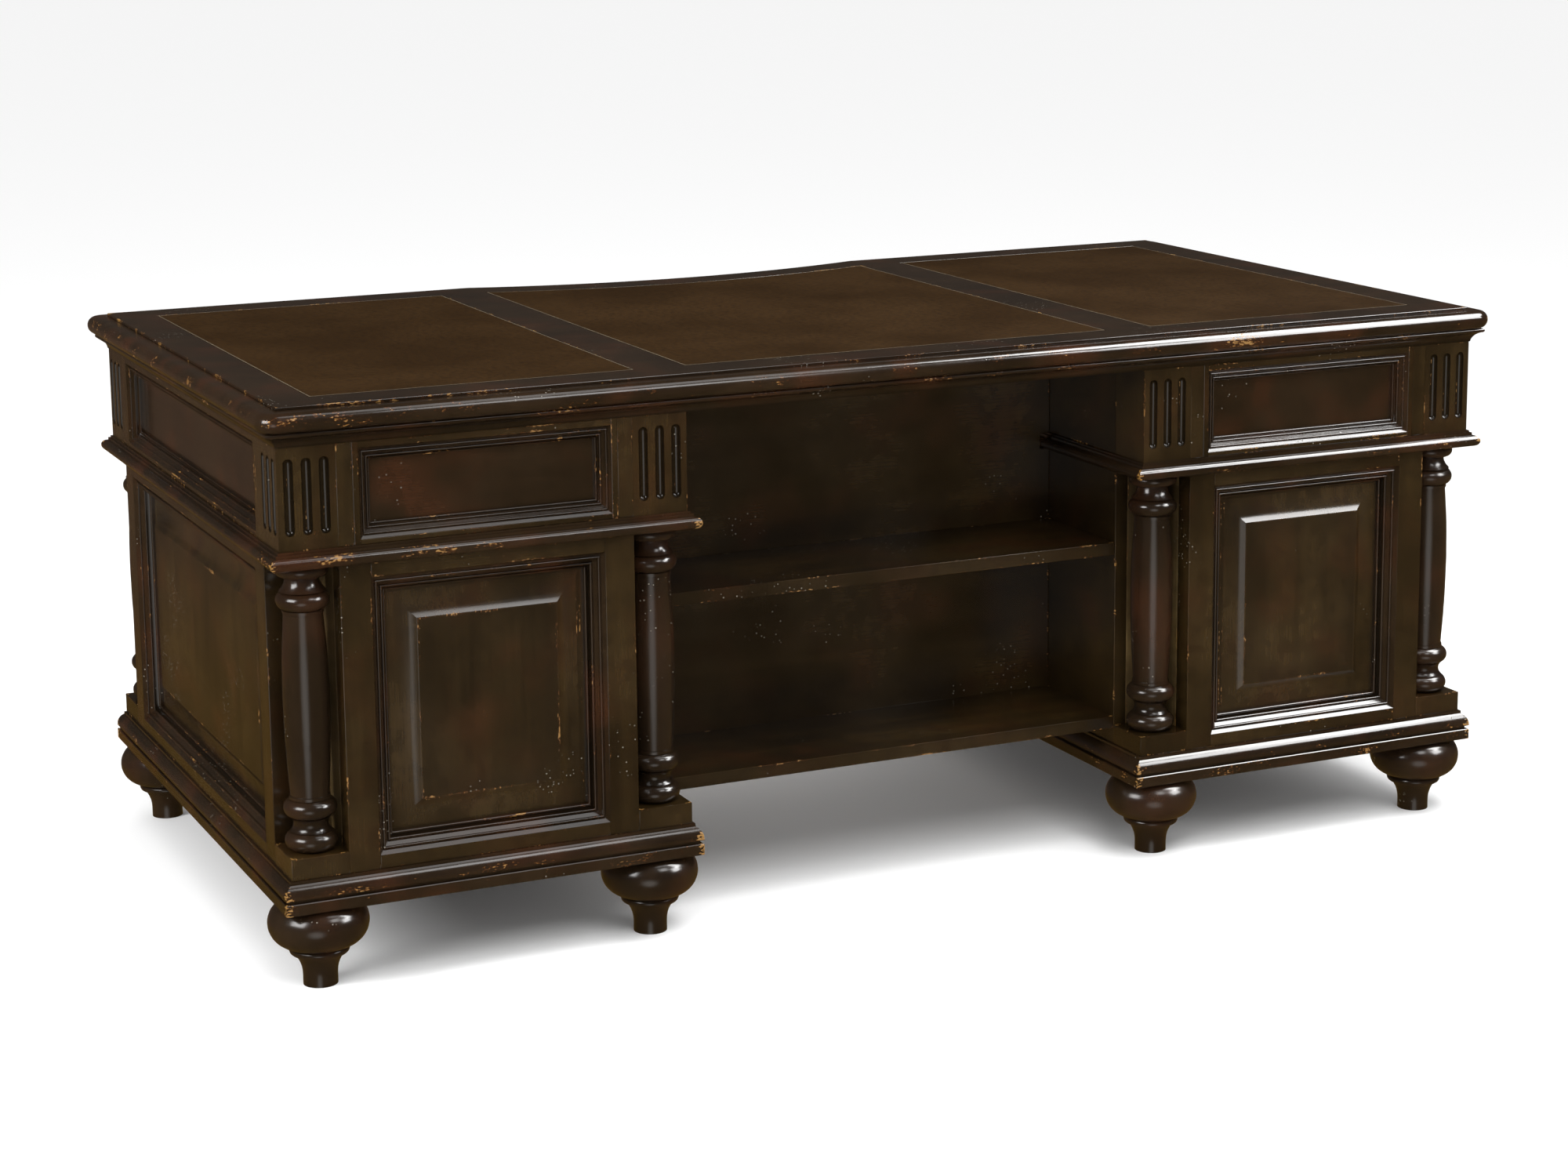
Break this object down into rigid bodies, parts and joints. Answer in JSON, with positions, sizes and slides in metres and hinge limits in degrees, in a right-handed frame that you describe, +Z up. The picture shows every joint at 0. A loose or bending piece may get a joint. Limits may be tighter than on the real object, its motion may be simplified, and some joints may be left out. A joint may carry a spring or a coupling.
{
  "type": "pedestal desk",
  "caption": "Executive pedestal desk in dark wood with leather inlaid top, fluted corner blocks, turned columns and feet, drawers, and an open bookcase on the visitor side.",
  "frame": {"origin": "on the floor, under the middle of the top's bounding box", "axes": "+X along the desk's long side to the right as a visitor sees it, +Y from the visitor's side to the user's side, +Z up"},
  "size_m": [1.842, 0.96, 0.762],
  "materials": {
    "dark_wood": "near-black brown lacquer, half gloss, rubbed edges",
    "leather": "dark brown skiver, half matt, with a thin gilt line",
    "drawer_wood": "pale hardwood, clear finish",
    "knob_brass": "darkened brass",
    "pin_steel": "plain steel"
  },
  "bodies": {
    "desk": {"bookcase_back": "dark_wood", "bookcase_bottom_shelf": "dark_wood", "bookcase_shelf": "dark_wood", "bottom_boards": "dark_wood", "centre_drawer_runners": "drawer_wood", "columns": "dark_wood", "cornice_moulding": "dark_wood", "feet": "dark_wood", "fluted_blocks": "dark_wood", "leather_centre": "leather", "leather_left": "leather", "leather_right": "leather", "left_base_frame": "dark_wood", "left_base_moulding": "dark_wood", "left_corner_posts": "dark_wood", "left_drawer_runners": "drawer_wood", "left_frieze_frames": "dark_wood", "left_frieze_mouldings": "dark_wood", "left_frieze_panels": "dark_wood", "left_inner_side": "dark_wood", "left_panel_frames": "dark_wood", "left_panel_mouldings": "dark_wood", "left_raised_panels": "dark_wood", "left_waist_moulding": "dark_wood", "plinth_blocks": "dark_wood", "right_base_frame": "dark_wood", "right_base_moulding": "dark_wood", "right_corner_posts": "dark_wood", "right_drawer_runners": "drawer_wood", "right_frieze_frames": "dark_wood", "right_frieze_mouldings": "dark_wood", "right_frieze_panels": "dark_wood", "right_inner_side": "dark_wood", "right_panel_frames": "dark_wood", "right_panel_mouldings": "dark_wood", "right_raised_panels": "dark_wood", "right_waist_moulding": "dark_wood", "shelf_pins": "pin_steel", "top_core": "dark_wood", "top_edging": "dark_wood", "top_field": "dark_wood", "top_subframe": "dark_wood", "waist_boards": "dark_wood"},
    "left_frieze_drawer": {"left_frieze_drawer_front": "dark_wood", "left_frieze_drawer_box": "drawer_wood", "left_frieze_drawer_knobs": "knob_brass"},
    "left_file_drawer": {"left_file_drawer_front": "dark_wood", "left_file_drawer_box": "drawer_wood", "left_file_drawer_knobs": "knob_brass"},
    "right_frieze_drawer": {"right_frieze_drawer_front": "dark_wood", "right_frieze_drawer_box": "drawer_wood", "right_frieze_drawer_knobs": "knob_brass"},
    "right_file_drawer": {"right_file_drawer_front": "dark_wood", "right_file_drawer_box": "drawer_wood", "right_file_drawer_knobs": "knob_brass"},
    "centre_drawer": {"centre_drawer_front": "dark_wood", "centre_drawer_box": "drawer_wood", "centre_drawer_knobs": "knob_brass"}
  },
  "joints": [
    {"name": "left_frieze_drawer_slide", "type": "slide", "parent": "desk", "child": "left_frieze_drawer", "axis": [0, 1, 0], "range_m": [0, 0.4]},
    {"name": "left_file_drawer_slide", "type": "slide", "parent": "desk", "child": "left_file_drawer", "axis": [0, 1, 0], "range_m": [0, 0.4]},
    {"name": "right_frieze_drawer_slide", "type": "slide", "parent": "desk", "child": "right_frieze_drawer", "axis": [0, 1, 0], "range_m": [0, 0.4]},
    {"name": "right_file_drawer_slide", "type": "slide", "parent": "desk", "child": "right_file_drawer", "axis": [0, 1, 0], "range_m": [0, 0.4]},
    {"name": "centre_drawer_slide", "type": "slide", "parent": "desk", "child": "centre_drawer", "axis": [0, 1, 0], "range_m": [0, 0.3]}
  ]
}
